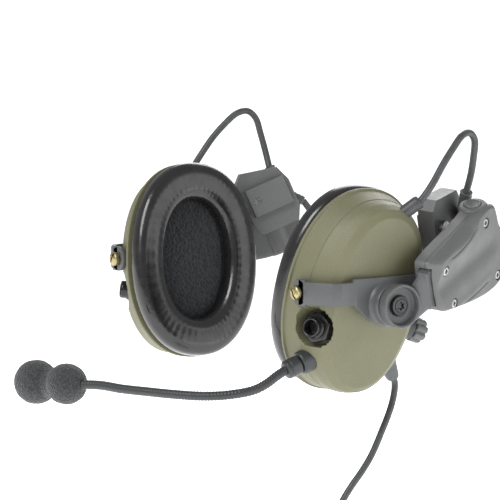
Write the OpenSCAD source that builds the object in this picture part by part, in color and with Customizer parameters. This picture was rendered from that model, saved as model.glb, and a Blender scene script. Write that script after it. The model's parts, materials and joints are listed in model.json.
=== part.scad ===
// Rail-mounted communication headset: two ear cups on swinging arms, with a
// boom microphone, a crossover cable and a downlead. Millimetres, +Z up.
// The wearer faces -Y and the wearer's left is +X. The origin is midway
// between the two helmet rail clips, on the line through the arm pivots.

/* [Placement] */
// Distance of each arm pivot from the middle
pivot_x = 116.5; // [116:0.5:118]
// Distance of each ear cup centre from the middle
cup_x = 100; // [99:0.5:101]
// Ear cup centre along the front to back axis
cup_y = -65.5; // [-66.5:0.5:-65]
// Height of the ear cup centre
cup_z = -45; // [-47:1:-43]
// Backward lean of the top of each cup, degrees
cup_lean = 7.5; // [6:0.5:9]
// Inward tilt of the foot of each cup in its yoke, degrees
cup_toe = 11.5; // [9:0.5:13]

/* [Ear cup] */
// Half width of the cup flange and ear seal
cup_half_w = 43.5; // [43:0.5:44]
// Half height of the cup flange and ear seal
cup_half_h = 60; // [58:1:61]
// Thickness of the ear seal
seal_t = 15; // [12:1:16]
// Half width of the ear opening
ear_half_w = 24.5; // [22:0.5:26]
// Half height of the ear opening
ear_half_h = 38.5; // [36:0.5:40]
// Wall thickness of the cup shells
wall = 2.2; // [1.8:0.2:2.6]

/* [Yoke and slider] */
// Thickness of the yoke band
yoke_t = 2.4; // [2:0.2:2.6]
// Half height of the yoke band at its sides
yoke_half_h = 7.5; // [6:0.5:7.5]
// Radius of the yoke boss
boss_r = 12; // [11:0.5:12]
// Height of the swivel axis below the cup centre
swivel_drop = 7; // [6:0.5:8]

/* [Arm] */
// Turn of the arm in plan, degrees
arm_turn = 22; // [22:1:22]
// Backward tilt of the arm, degrees
arm_tilt = 23; // [23:1:23]
// Outward roll of the arm, degrees
arm_roll = 6; // [6:1:6]
// Radius of the hinge barrel
barrel_r = 8.5; // [8.5:0.5:8.5]
// Radius of the pivot pin
pin_r = 3; // [2.5:0.5:3]
// Radius of the release button
button_r = 5; // [4.5:0.5:5]

/* [Boom] */
// Diameter of the boom
boom_d = 5.5; // [5:0.5:6]
// Radius of the far lobe of the windscreen
far_lobe_r = 13; // [12:0.5:13]
// Radius of the near lobe of the windscreen
near_lobe_r = 12; // [11:0.5:12]

/* [Cables] */
// Diameter of the crossover cable
cross_d = 4.1; // [4:0.1:4.2]
// Diameter of the downlead
lead_d = 4; // [3.8:0.1:4.2]
// Radius of the coil at the middle of its turns
coil_r = 23; // [22:0.5:24]
// Radius of the bundle of turns
bundle_r = 6; // [5.5:0.5:6]
// Radius of the plug's contact barrel
contact_r = 3.55; // [3.5:0.05:3.6]

/* [Hidden] */
$fn = 48;

olive = [0.36, 0.36, 0.25];
grey = [0.42, 0.42, 0.41];
dark = [0.18, 0.19, 0.19];
black = [0.1, 0.1, 0.1];
steel = [0.62, 0.62, 0.62];
brass = [0.62, 0.55, 0.3];

fit = 0.05;
gap = 0.3;
cut = 1;

// Cup levels along its own axis, outward from the pivot axis
seal_in = -28;
flange_in = seal_in + seal_t;
flange_out = flange_in + 1.8;
base_out = 1;
body_half_w = cup_half_w - 5;
body_half_h = cup_half_h - 3;
cup_drop = -5;
shoulder_half_w = cup_half_w - 1.9;
shoulder_half_h = cup_half_h - 1;
seat_r = 10.4;
mic_r = 5.4;
nut_r = 9.3;

// Yoke levels: the eyes lie on the pivot screws, the plate lies outside the cap
eye_in = body_half_w + 2.7;
eye_out = eye_in + yoke_t;
plate_in = 21.2;
plate_out = plate_in + yoke_t;
boss_out = 30.5;
dish_in = boss_out + 0.4;
dish_floor = dish_in + 3;
dish_out = 38.5;
dish_r = 12.4;
bowl_r = 10.6;
screw_r = 3;

// Arm levels in its own frame: x outward, y backward along the slide, z up the pin
shell_in = -4.4;
shell_split = 2.5;
shell_out = 10;
mouth_y = -63;
ear_low = -30;
ear_high = -25;
arm_low = -53;
clip_face = -17.7;
clip_back = -31;
// Arm screws: y, z and the depth their shanks start at
screw_places = [[-3.5, -8.5, 5.5], [-51.5, -14.2, -0.5], [3, -46.5, 5.2], [-47.3, -37.5, -0.5]];
screw_seat = 8;
screw_shank_r = 1.5;
arm_outline = [
  [mouth_y, -5], [-45, -3], [-14, -2], [0, -2], [9.5, -4], [12, -20], [17, -30],
  [17, -44], [10, -51], [-4, arm_low], [-24, -49], [mouth_y + 1, -36]];

// Routes, as points in the part's frame
loop_route = [
  [120.7, -44.2, 2.5], [122.7, -40.8, 5.5], [123.4, -33.8, 14], [122.4, -25.5, 24.8],
  [120.6, -17, 33.8], [118.6, -9.8, 39.9], [116.6, -2.8, 41.4], [114.8, 2.4, 36.5],
  [111.8, 4, 27], [108, 5, 16.5], [103.5, 5.2, 6]];
boot_route = [
  [103.5, 5.2, 6], [99.5, 6.9, -1.5], [96.4, 8.1, -7], [94, 11.5, -10.4], [92, 15.5, -12.2],
  [89, 21.5, -15]];
boot_d = 7.2;
middle_route = [
  [89, 21.5, -15], [86.5, 26.5, -22.5], [81.5, 33, -34], [73.5, 39.5, -45], [62.5, 44, -54],
  [48, 47, -61], [32, 48.5, -66], [15, 49.5, -69], [0, 49.5, -70]];
boom_route = [
  [93.1, -110.9, -89.1], [92.7, -115.6, -90.9], [92.9, -120.3, -93.2], [92.8, -125.8, -96.3],
  [91.3, -132.7, -99.3], [88.5, -141, -101], [82, -150.3, -102.4], [73, -159, -103], [60, -167.5, -103],
  [45, -174.5, -103], [28, -181.5, -103], [12, -187, -102.5], [-4, -194.5, -103.5]];
lead_route = [
  [85.5, -33.2, -101.4], [85, -31.8, -103.8], [85.2, -31.9, -109], [85.6, -34, -116.5],
  [86, -37.6, -124.5], [86, -41.9, -133], [86, -46, -141], [86, -50.4, -148],
  [86, -56, -155], [86, -62.9, -162.5], [86, -69.8, -171.5], [86, -75.9, -182.5],
  [86, -82.3, -196.3]];
coil_centre = [86, -61.4, -206];
tail_route = [[86, -84.4, -206], [86, -84.9, -214], [86, -85.4, -222], [86, -85.4, -231]];
plug_top = [86, -85.4, -231];

// ---------- shared shapes ----------

// An oval with half width a and half height b; its centre is dropped by cup_drop
function oval(a, b, n = 32, p = 2.2) = [
  for (i = [0 : n - 1])
    let (t = 360 * i / n, c = cos(t), s = sin(t))
    [a * sign(c) * pow(abs(c), 2 / p), cup_drop + b * sign(s) * pow(abs(s), 2 / p)]];

// Extrudes a drawing of the y-z plane from x = from to x = to
module slab(from, to) {
  translate([from, 0, 0]) rotate([90, 0, 90]) linear_extrude(to - from) children();
}

// A solid lofted through ovals; each level is [x, half width, half height]
module oval_loft(levels, n = 32) {
  m = len(levels);
  points = [for (v = levels, q = oval(v[1], v[2], n)) [v[0], q[0], q[1]]];
  sides = [
    for (j = [0 : m - 2], i = [0 : n - 1])
      let (k = (i + 1) % n)
      [j * n + i, (j + 1) * n + i, (j + 1) * n + k, j * n + k]];
  first = [for (i = [0 : n - 1]) i];
  last = [for (i = [0 : n - 1]) m * n - 1 - i];
  polyhedron(points = points, faces = concat(sides, [first], [last]), convexity = 4);
}

// Turns +Z to the direction d
module aim(d) {
  rotate([0, acos(d[2] / norm(d)), atan2(d[1], d[0])]) children();
}

function unit(v) = v / norm(v);

// Tangent of a route at point i
function along(route, i) =
  unit(route[min(i + 1, len(route) - 1)] - route[max(i - 1, 0)]);

// A tube of diameter d swept along a route, with flat sides facing helper axis h
module tube(route, d, sides = 8, h = [0.3, 0.2, 1]) {
  n = len(route);
  points = [
    for (i = [0 : n - 1])
      let (t = along(route, i), u = unit(cross(h, t)), v = cross(t, u))
      for (k = [0 : sides - 1])
        route[i] + d / 2 * (cos(360 * k / sides) * u + sin(360 * k / sides) * v)];
  walls = [
    for (i = [0 : n - 2], k = [0 : sides - 1])
      let (m = (k + 1) % sides)
      [i * sides + k, (i + 1) * sides + k, (i + 1) * sides + m, i * sides + m]];
  first = [for (k = [0 : sides - 1]) k];
  last = [for (k = [0 : sides - 1]) n * sides - 1 - k];
  polyhedron(points = points, faces = concat(walls, [first], [last]), convexity = 6);
}

// A wire spring of mean radius r between two heights
module spring(r, wire, low, high, turns) {
  steps = turns * 12;
  rise = high - low - wire;
  tube([
    for (i = [0 : steps])
      [r * cos(30 * i), r * sin(30 * i), low + wire / 2 + rise * i / steps]], wire, 6, [0, 0, 1]);
}

// Frames: the left side is drawn, and the right side is its mirror image
module side(s) {
  mirror([s < 0 ? 1 : 0, 0, 0]) children();
}

module cup_frame() {
  yoke_frame() rotate([0, cup_toe, 0]) rotate([-cup_lean, 0, 0]) children();
}

module yoke_frame() {
  translate([cup_x, cup_y, cup_z]) children();
}

module arm_frame() {
  translate([pivot_x, 0, 0])
    rotate([0, 0, arm_turn]) rotate([arm_tilt, 0, 0]) rotate([0, arm_roll, 0]) children();
}

// A cylinder along +X of the yoke frame, on the swivel axis
module on_swivel(from, to, r) {
  translate([from, 1, -swivel_drop]) rotate([0, 90, 0]) cylinder(h = to - from, r = r);
}

// ---------- rail clip and hinge ----------

module rail_clip_shape() {
  arm_frame() difference() {
    union() {
      slab(clip_back + 3, clip_face)
        polygon([
          [-15, -28], [-11, -36], [13, -36], [17, -28], [17, -10], [13, 0], [-10, 5], [-15, 0]]);
      slab(clip_back, clip_back + 3)
        polygon([[-12, -24], [14, -24], [14, -6], [-12, -6]]);
      translate([clip_face - cut, -6.5, ear_low]) cube([cut - clip_face, 13, ear_high - ear_low]);
      translate([0, 0, ear_low]) cylinder(h = ear_high - ear_low, r = 6.5);
    }
    translate([0, 0, ear_low - cut]) cylinder(h = 2 * cut + ear_high - ear_low, r = pin_r);
    translate([clip_back - cut, -7, -15]) rotate([0, 90, 0]) cylinder(h = 20, r = 2.5);
  }
}

module clip_lock_screw_shape() {
  arm_frame() translate([clip_back + 1, -7, -15]) rotate([0, 90, 0]) {
    cylinder(h = clip_face - clip_back - 1, r = 2.5);
    translate([0, 0, clip_face - clip_back - 1]) cylinder(h = 2, r = 4.5);
  }
}

module pivot_pin_shape() {
  arm_frame() translate([0, 0, arm_low + 2]) cylinder(h = -arm_low - 15, r = pin_r);
}

module cable_boot_shape() {
  difference() {
    tube(boot_route, boot_d, 12);
    translate(boot_route[0]) aim(boot_route[1] - boot_route[0])
      translate([0, 0, -cut]) cylinder(h = 8 + cut, r = cross_d / 2 + fit);
  }
}

// ---------- arm ----------

module arm_barrel() {
  translate([0, 0, arm_low]) cylinder(h = -arm_low, r = barrel_r);
}

// Slot for the clip's ear over the whole swing of the arm: [x, y]
ear_slot = concat(
  [for (a = [36, 0, -43, -86]) 7.3 * [cos(a), sin(a)]],
  [for (a = [204, 192, 180, 168, 156, 144, 132, 120, 108]) 26 * [cos(a), sin(a)]]);

// Everything cut out of the arm housing
module arm_cuts() {
  translate([-1.3, mouth_y - cut, -32.3]) cube([7.6, 9.6 + cut, 24.6]);
  translate([-0.3, mouth_y, -28.3]) cube([5.6, 51.5, 10.6]);
  translate([0, 0, arm_low - cut]) cylinder(h = -arm_low - 11, r = pin_r + fit);
  translate([0, 0, ear_high]) cylinder(h = 11.5, r = 6.6);
  translate([0, 0, -11]) cylinder(h = 12, r = button_r + fit);
  translate([0, 0, ear_low - gap])
    linear_extrude(ear_high - ear_low + 2 * gap) polygon(ear_slot);
  for (p = screw_places)
    translate([p[2], p[0], p[1]]) rotate([0, 90, 0]) {
      cylinder(h = screw_seat - p[2] + cut, r = screw_shank_r);
      translate([0, 0, screw_seat - p[2]]) cylinder(h = 4, r = 3);
    }
}

module arm_inner_shape() {
  arm_frame() difference() {
    union() {
      slab(shell_in, shell_split) polygon(arm_outline);
      arm_barrel();
    }
    arm_cuts();
  }
}

module arm_cover_shape() {
  arm_frame() difference() {
    slab(shell_split, shell_out) polygon(arm_outline);
    arm_barrel();
    arm_cuts();
  }
}

module arm_screws_shape() {
  arm_frame() for (p = screw_places) {
    translate([p[2], p[0], p[1]]) rotate([0, 90, 0])
      cylinder(h = screw_seat - p[2], r = screw_shank_r);
    translate([screw_seat, p[0], p[1]]) rotate([0, 90, 0]) difference() {
      cylinder(h = 1.6, r = 2.8);
      translate([0, 0, 0.6]) cylinder(h = 2, r = 1.3, $fn = 6);
    }
  }
}

module torsion_spring_shape() {
  arm_frame() spring(4.9, 1.4, -24.7, -14, 5);
}

module release_button_shape() {
  arm_frame() translate([0, 0, -4]) cylinder(h = 4.6, r = button_r);
}

module button_spring_shape() {
  arm_frame() spring(3.4, 0.8, -10.9, -4.1, 5);
}

// ---------- slider and yoke ----------

module slider_shape() {
  difference() {
    union() {
      arm_frame() {
        translate([-1, mouth_y - 4, -32]) cube([7, 9, 24]);
        translate([0, mouth_y + 4, -28]) cube([5, 45, 10]);
      }
      hull() {
        yoke_frame() on_swivel(dish_in, dish_out, dish_r - 2, $fn = 32);
        arm_frame() translate([-1, mouth_y - 6.5, -32]) cube([7, 3, 24]);
      }
      yoke_frame() on_swivel(dish_in, dish_out, dish_r);
    }
    yoke_frame() on_swivel(dish_floor, dish_out + 20, bowl_r);
    yoke_frame() on_swivel(dish_in - cut, dish_out, screw_r + fit);
    yoke_frame() on_swivel(dish_in - 9, dish_in, 30);
  }
}

module swivel_screw_shape() {
  yoke_frame() difference() {
    union() {
      on_swivel(plate_in + 2, dish_floor + gap, screw_r);
      on_swivel(dish_floor + gap, dish_floor + gap + 2, 6);
    }
    on_swivel(dish_floor + gap + 1, dish_out, 2);
  }
}

// Outline of the yoke band in plan from its front eye to its rear eye: [x, y]
band_outline = [
  [-7.5, -eye_out], [6, -eye_out], [12, 2.6 - eye_out], [21, -35], [plate_out, -31],
  [plate_out, 25], [20, 31.5], [12.5, eye_out - 4.6], [6, eye_out], [-7.5, eye_out],
  [-7.5, eye_in], [5.3, eye_in], [11, eye_in - 4.4], [17.8, 30], [plate_in, 24],
  [plate_in, -30], [19.4, -33], [10.8, 2.4 - eye_in], [5.3, -eye_in], [-7.5, -eye_in]];

module yoke_shape() {
  yoke_frame() difference() {
    union() {
      intersection() {
        translate([0, 0, -yoke_half_h]) linear_extrude(2 * yoke_half_h) polygon(band_outline);
        union() {
          rotate([90, 0, 0]) translate([0, 0, -60]) cylinder(h = 120, r = 7.5);
          translate([0, -60, -20]) cube([40, 120, 40]);
        }
      }
      slab(plate_in, plate_out) polygon([
        [-22, -yoke_half_h], [-22, 8], [-14, 9.5], [14, 9.5], [22, 8], [22, -yoke_half_h],
        [11, -17], [-9, -17]]);
      on_swivel(plate_in, boss_out, boss_r);
    }
    on_swivel(plate_in + 2, boss_out + cut, screw_r);
    rotate([90, 0, 0]) translate([0, 0, -60]) cylinder(h = 120, r = 2 + fit);
  }
}

module pivot_screws_shape() {
  yoke_frame() for (s = [-1, 1]) rotate([s * 90, 0, 0]) {
    translate([0, 0, body_half_w - 3]) cylinder(h = eye_out + gap - body_half_w + 3, r = 2);
    translate([0, 0, eye_out + gap]) difference() {
      cylinder(h = 2, r = 4.2);
      translate([-5, -0.6, 1]) cube([10, 1.2, 2]);
    }
  }
}

// ---------- ear cup ----------

module cup_base_shape() {
  difference() {
    union() {
      cup_frame() {
        slab(flange_in, flange_out) polygon(oval(cup_half_w, cup_half_h));
        oval_loft([
          [flange_out, shoulder_half_w, shoulder_half_h], [base_out, body_half_w, body_half_h]]);
      }
      yoke_frame() for (s = [-1, 1]) rotate([s * 90, 0, 0])
        translate([0, 0, body_half_w - 3]) cylinder(h = 5.4, r = 4.5);
    }
    cup_frame() {
      slab(flange_in + 3, base_out + cut)
        polygon(oval(body_half_w - wall, body_half_h - wall));
      slab(flange_in - cut, flange_in + 4) polygon(oval(ear_half_w + 10, ear_half_h + 12));
    }
    yoke_frame() rotate([90, 0, 0]) translate([0, 0, -60]) cylinder(h = 120, r = 2);
    ambient_place() translate([0, 0, -3]) cylinder(h = 20, r = seat_r);
  }
  ambient_seat();
}

// Floor of the ambient microphone's recess, with a rib that joins it to the base wall
module ambient_seat() {
  difference() {
    union() {
      ambient_place() translate([0, 0, -3]) cylinder(h = 3, r = seat_r);
      cup_frame() translate([-9, -37, -26]) cube([5, 10.5, 6]);
    }
    ambient_place() translate([0, 0, -4]) cylinder(h = 5, r = mic_r);
    ambient_place() cylinder(h = 20, r = seat_r);
  }
}

module cup_cap_shape() {
  difference() {
    cup_frame() oval_loft([
      [base_out, body_half_w, body_half_h], [7, 35.5, 56], [12, 31.5, 54], [15.5, 27, 50],
      [17.5, 20, 43]]);
    cup_frame() oval_loft([
      [base_out - cut, body_half_w - wall, body_half_h - wall], [6, 33.5, 54],
      [11, 29.5, 52], [14, 25, 48], [15.3, 19, 42]]);
    ambient_place() translate([0, 0, -3]) cylinder(h = 40, r = seat_r);
    yoke_frame() rotate([90, 0, 0]) translate([0, 0, -60]) cylinder(h = 120, r = 2);
  }
}

module ear_seal_shape() {
  cup_frame() difference() {
    oval_loft([
      [seal_in, cup_half_w - 5, cup_half_h - 5], [seal_in + 2, cup_half_w - 1.5, cup_half_h - 1.5],
      [seal_in + 5, cup_half_w, cup_half_h], [flange_in, cup_half_w, cup_half_h]]);
    slab(seal_in - cut, flange_in + cut) polygon(oval(ear_half_w, ear_half_h));
  }
}

module speaker_plate_shape() {
  cup_frame() difference() {
    slab(flange_in, flange_in + 3) polygon(oval(ear_half_w + 10, ear_half_h + 12));
    for (k = [0 : 5]) rotate([60 * k, 0, 0]) translate([flange_in - cut, 0, 9])
      rotate([0, 90, 0]) cylinder(h = 5, r = 2.5);
  }
}

module speaker_shape() {
  cup_frame() translate([flange_in + 3, 0, 0]) rotate([0, 90, 0]) {
    cylinder(h = 3.5, r = 20);
    translate([0, 0, 3.5]) cylinder(h = 5, r = 11);
  }
}

module foam_liner_shape() {
  cup_frame() slab(flange_in - 3, flange_in) polygon(oval(ear_half_w - 0.3, ear_half_h - 0.3));
}

// Frame of the ambient microphone: +Z points forward and outward
module ambient_place() {
  cup_frame() translate([3.8, -25, -24.2]) aim([0.38, -0.92, 0.08]) children();
}

module ambient_nut_shape() {
  ambient_place() difference() {
    cylinder(h = 6, r = nut_r, $fn = 6);
    translate([0, 0, -cut]) cylinder(h = 8, r = mic_r);
  }
}

module ambient_mic_shape() {
  ambient_place() difference() {
    translate([0, 0, -6]) cylinder(h = 18, r = mic_r);
    translate([0, 0, 4]) cylinder(h = 9, r = mic_r - 1.2);
  }
}

module cable_sleeve_shape() {
  cup_frame() translate([8, 8.5, 45.5]) aim([0.28, 0.6, 0.75]) difference() {
    translate([0, 0, -3]) cylinder(h = 17, r = 4);
    translate([0, 0, 9]) cylinder(h = 6, r = cross_d / 2 + gap);
  }
}

module circuit_board() {
  color("darkgreen") cup_frame() {
    slab(4, 5.6) polygon([[-14, -26], [20, -26], [20, 22], [-14, 22]]);
    slab(5.6, 7.4) for (p = [[-8, 6], [6, -8], [-2, -18]]) translate(p) square([9, 7]);
  }
}

module battery_pair() {
  color("silver") side(-1) cup_frame() for (y = [-8, 6]) translate([7, y, -26]) {
    cylinder(h = 43, r = 5.1);
    translate([0, 0, 43]) cylinder(h = 1.2, r = 1.9);
  }
}

// ---------- left side controls and boom ----------

module knob_place() {
  cup_frame() translate([-0.5, 37.4, -21.5]) aim([0, 0.98, -0.2]) children();
}

module volume_knob() {
  color(grey) knob_place() difference() {
    translate([0, 0, 3.3]) cylinder(h = 9, r = 7.5);
    translate([0, 0, 3]) cylinder(h = 5, r = 2.5);
    for (k = [0 : 7]) rotate([0, 0, 45 * k]) translate([8.6, 0, 2]) cylinder(h = 11, r = 2);
  }
}

module rotary_switch() {
  color(dark) knob_place() {
    translate([0, 0, -6]) cylinder(h = 8.6, r = 5);
    translate([0, 0, 2.6]) cylinder(h = 5.2, r = 2.4);
  }
}

module boom_place() {
  cup_frame() translate([2, -29.5, -45]) aim([0, -0.88, -0.47]) children();
}

module boom_socket() {
  color(dark) boom_place() difference() {
    translate([0, 0, -7]) cylinder(h = 11, r = 6.8);
    translate([0, 0, -4]) cylinder(h = 9, r = 4 + fit);
  }
}

module boom() {
  color(dark) {
    boom_place() {
      translate([0, 0, -3.5]) cylinder(h = 8, r = 4);
      translate([0, 0, 4.5]) cylinder(h = 8.5, r = 5.5);
    }
    tube(boom_route, boom_d, 10);
  }
}

mic_entry = boom_route[len(boom_route) - 1];
mic_dir = [-0.94, -0.35, -0.04];

module mic_place() {
  translate(mic_entry) aim(mic_dir) children();
}

module mic_capsule() {
  color(black) mic_place() cylinder(h = 30, r = 4.5);
}

module windscreen() {
  color(black) difference() {
    union() {
      mic_place() translate([0, 0, 6]) sphere(r = near_lobe_r);
      mic_place() translate([0, 0, 29]) sphere(r = far_lobe_r);
    }
    mic_place() cylinder(h = 30, r = 4.5);
    translate(mic_entry) aim(boom_route[len(boom_route) - 3] - mic_entry)
      cylinder(h = 20, r = 3.2);
  }
}

module downlead_boot() {
  color(grey) cup_frame() translate([-3, 31.5, -43]) aim([0, 0.61, -0.79]) difference() {
    union() {
      translate([0, 0, -8]) cylinder(h = 10, r = 5.6);
      translate([0, 0, 2]) cylinder(h = 11.2, r1 = 5.6, r2 = 3.6);
    }
    translate([0, 0, 1]) cylinder(h = 13, r = lead_d / 2);
  }
}

// ---------- cables ----------

module crossover_loop_shape() {
  tube(loop_route, cross_d, 10, [1, 0, 0]);
}

module crossover_middle() {
  other_half = [
    for (i = [len(middle_route) - 2 : -1 : 0])
      let (p = middle_route[i])
      [-p[0], p[1], p[2]]];
  color(dark) tube(concat(middle_route, other_half), cross_d, 10, [0, 1, 0.2]);
}

module downlead() {
  color(dark) {
    tube(lead_route, lead_d, 8, [1, 0, 0]);
    tube(tail_route, lead_d, 8, [1, 0, 0]);
  }
}

module downlead_coil() {
  color(dark) translate(coil_centre) rotate([0, 90, 0]) rotate_extrude()
    translate([coil_r, 0]) circle(r = bundle_r, $fn = 24);
}

module coil_tie() {
  color(black) translate(coil_centre + [0, coil_r, 0]) difference() {
    translate([0, 0, -3]) cylinder(h = 6, r = bundle_r + 1.6);
    translate([0, -coil_r, 0]) rotate([0, 90, 0]) rotate_extrude()
      translate([coil_r, 0]) circle(r = bundle_r, $fn = 24);
  }
}

module plug() {
  color(black) translate(plug_top) mirror([0, 0, 1]) {
    difference() {
      union() {
        cylinder(h = 8, r = 4.5);
        translate([0, 0, 8]) cylinder(h = 26, r = 7.5);
      }
      translate([0, 0, 26]) cylinder(h = 10, r = contact_r);
    }
    translate([0, 0, 26]) cylinder(h = 34, r = contact_r);
    translate([0, 0, 60]) sphere(r = contact_r);
  }
}

// ---------- sub-parts that both sides have ----------

module pair(s, c) {
  color(c) side(s) children();
}

module rail_clip_left() {
  pair(1, grey) rail_clip_shape();
}

module rail_clip_right() {
  pair(-1, grey) rail_clip_shape();
}

module arm_inner_left() {
  pair(1, grey) arm_inner_shape();
}

module arm_inner_right() {
  pair(-1, grey) arm_inner_shape();
}

module arm_cover_left() {
  pair(1, grey) arm_cover_shape();
}

module arm_cover_right() {
  pair(-1, grey) arm_cover_shape();
}

module arm_screws_left() {
  pair(1, steel) arm_screws_shape();
}

module arm_screws_right() {
  pair(-1, steel) arm_screws_shape();
}

module torsion_spring_left() {
  pair(1, steel) torsion_spring_shape();
}

module torsion_spring_right() {
  pair(-1, steel) torsion_spring_shape();
}

module release_button_left() {
  pair(1, grey) release_button_shape();
}

module release_button_right() {
  pair(-1, grey) release_button_shape();
}

module button_spring_left() {
  pair(1, steel) button_spring_shape();
}

module button_spring_right() {
  pair(-1, steel) button_spring_shape();
}

module slider_left() {
  pair(1, dark) slider_shape();
}

module slider_right() {
  pair(-1, dark) slider_shape();
}

module yoke_left() {
  pair(1, dark) yoke_shape();
}

module yoke_right() {
  pair(-1, dark) yoke_shape();
}

module swivel_screw_left() {
  pair(1, black) swivel_screw_shape();
}

module swivel_screw_right() {
  pair(-1, black) swivel_screw_shape();
}

module pivot_screws_left() {
  pair(1, brass) pivot_screws_shape();
}

module pivot_screws_right() {
  pair(-1, brass) pivot_screws_shape();
}

module boom_bore() {
  boom_place() translate([0, 0, -8]) cylinder(h = 20, r = 4 + gap);
}

module cup_base_left() {
  pair(1, olive) difference() {
    cup_base_shape();
    boom_bore();
  }
}

module cup_base_right() {
  pair(-1, olive) cup_base_shape();
}

module cup_cap_left() {
  pair(1, olive) difference() {
    cup_cap_shape();
    boom_bore();
  }
}

module cup_cap_right() {
  pair(-1, olive) cup_cap_shape();
}

module ear_seal_left() {
  pair(1, black) ear_seal_shape();
}

module ear_seal_right() {
  pair(-1, black) ear_seal_shape();
}

module foam_liner_left() {
  pair(1, dark) foam_liner_shape();
}

module foam_liner_right() {
  pair(-1, dark) foam_liner_shape();
}

module speaker_plate_left() {
  pair(1, black) speaker_plate_shape();
}

module speaker_plate_right() {
  pair(-1, black) speaker_plate_shape();
}

module speaker_left() {
  pair(1, steel) speaker_shape();
}

module speaker_right() {
  pair(-1, steel) speaker_shape();
}

module ambient_nut_left() {
  pair(1, black) ambient_nut_shape();
}

module ambient_nut_right() {
  pair(-1, black) ambient_nut_shape();
}

module ambient_mic_left() {
  pair(1, dark) ambient_mic_shape();
}

module ambient_mic_right() {
  pair(-1, dark) ambient_mic_shape();
}

module cable_sleeve_left() {
  pair(1, dark) cable_sleeve_shape();
}

module cable_sleeve_right() {
  pair(-1, dark) cable_sleeve_shape();
}

module crossover_loop_left() {
  pair(1, dark) crossover_loop_shape();
}

module crossover_loop_right() {
  pair(-1, dark) crossover_loop_shape();
}

module clip_lock_screws() {
  for (s = [1, -1]) pair(s, steel) clip_lock_screw_shape();
}

module pivot_pins() {
  for (s = [1, -1]) pair(s, steel) pivot_pin_shape();
}

module cable_boots() {
  for (s = [1, -1]) pair(s, grey) cable_boot_shape();
}

rail_clip_left();
rail_clip_right();
clip_lock_screws();
pivot_pins();
cable_boots();
arm_inner_left();
arm_inner_right();
arm_cover_left();
arm_cover_right();
arm_screws_left();
arm_screws_right();
torsion_spring_left();
torsion_spring_right();
release_button_left();
release_button_right();
button_spring_left();
button_spring_right();
slider_left();
slider_right();
yoke_left();
yoke_right();
swivel_screw_left();
swivel_screw_right();
pivot_screws_left();
pivot_screws_right();
cup_base_left();
cup_base_right();
cup_cap_left();
cup_cap_right();
ear_seal_left();
ear_seal_right();
foam_liner_left();
foam_liner_right();
speaker_plate_left();
speaker_plate_right();
speaker_left();
speaker_right();
ambient_nut_left();
ambient_nut_right();
ambient_mic_left();
ambient_mic_right();
cable_sleeve_left();
cable_sleeve_right();
circuit_board();
battery_pair();
volume_knob();
rotary_switch();
boom_socket();
boom();
mic_capsule();
windscreen();
downlead_boot();
crossover_loop_left();
crossover_loop_right();
crossover_middle();
downlead();
downlead_coil();
coil_tie();
plug();
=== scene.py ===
"""Looks of the helmet-rail communication headset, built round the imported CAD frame.

Shapes are drawn in millimetres in a local frame, for the wearer's left side, and are
turned into the row frame in metres. The right side is the mirror image.
"""
import json
import math

import bmesh
import bpy
from mathutils import Matrix, Vector, noise


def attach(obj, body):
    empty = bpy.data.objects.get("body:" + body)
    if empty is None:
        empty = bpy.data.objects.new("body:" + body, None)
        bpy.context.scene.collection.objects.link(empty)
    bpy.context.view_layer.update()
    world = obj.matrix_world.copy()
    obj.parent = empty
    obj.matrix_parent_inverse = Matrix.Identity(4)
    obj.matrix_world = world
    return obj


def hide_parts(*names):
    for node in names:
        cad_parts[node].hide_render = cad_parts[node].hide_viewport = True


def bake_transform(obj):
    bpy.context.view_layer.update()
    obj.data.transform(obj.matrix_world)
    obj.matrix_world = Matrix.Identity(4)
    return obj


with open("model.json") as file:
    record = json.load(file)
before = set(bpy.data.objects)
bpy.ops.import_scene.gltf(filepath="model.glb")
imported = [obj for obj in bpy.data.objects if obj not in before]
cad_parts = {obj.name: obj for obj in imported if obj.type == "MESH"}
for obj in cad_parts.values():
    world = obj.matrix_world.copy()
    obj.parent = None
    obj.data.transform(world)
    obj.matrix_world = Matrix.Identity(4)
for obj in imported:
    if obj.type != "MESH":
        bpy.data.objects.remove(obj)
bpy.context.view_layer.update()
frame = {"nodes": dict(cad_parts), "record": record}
MM = 0.001
SIDES = {"left": 1, "right": -1}
JOINTS = {joint["name"]: joint for joint in frame["record"]["behaviour"]["joints"]}


# ---------- frames ----------

def joint_point(name):
    return Vector(JOINTS[name]["pos_m"]) / MM


def turned(angle, axis):
    return Matrix.Rotation(math.radians(angle), 4, axis)


def aimed(point, direction):
    """A frame at a point whose +Z runs along direction."""
    x, y, z = Vector(direction).normalized()
    return Matrix.Translation(point) @ Matrix.Rotation(math.atan2(y, x), 4, "Z") @ Matrix.Rotation(
        math.acos(z), 4, "Y")


CUP_CENTRE = joint_point("left_cup_tilt")
SWIVEL = joint_point("left_swivel")
PIVOT = joint_point("left_arm_swing")
ROW = Matrix.Identity(4)
YOKE = Matrix.Translation(CUP_CENTRE)
CUP_TOE = 11.5
CUP_LEAN = 7.5
ARM_YAW = 22
ARM_PITCH = 23
ARM_ROLL = 6
CUP = YOKE @ turned(CUP_TOE, "Y") @ turned(-CUP_LEAN, "X")
ARM = (
    Matrix.Translation(PIVOT) @ turned(ARM_YAW, "Z") @ turned(ARM_PITCH, "X")
    @ turned(ARM_ROLL, "Y"))
AMBIENT = CUP @ aimed((3.8, -25, -24.2), (0.38, -0.92, 0.08))
KNOB = CUP @ aimed((-0.5, 37.4, -21.5), (0, 0.98, -0.2))
BOOM = CUP @ aimed((2, -29.5, -45), (0, -0.88, -0.47))
BOOT = CUP @ aimed((-3, 31.5, -43), (0, 0.61, -0.79))
SLEEVE = CUP @ aimed((8, 8.5, 45.5), (0.28, 0.6, 0.75))
SWIVEL_AXIS = aimed((CUP_CENTRE.x, SWIVEL.y, SWIVEL.z), (1, 0, 0))

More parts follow.
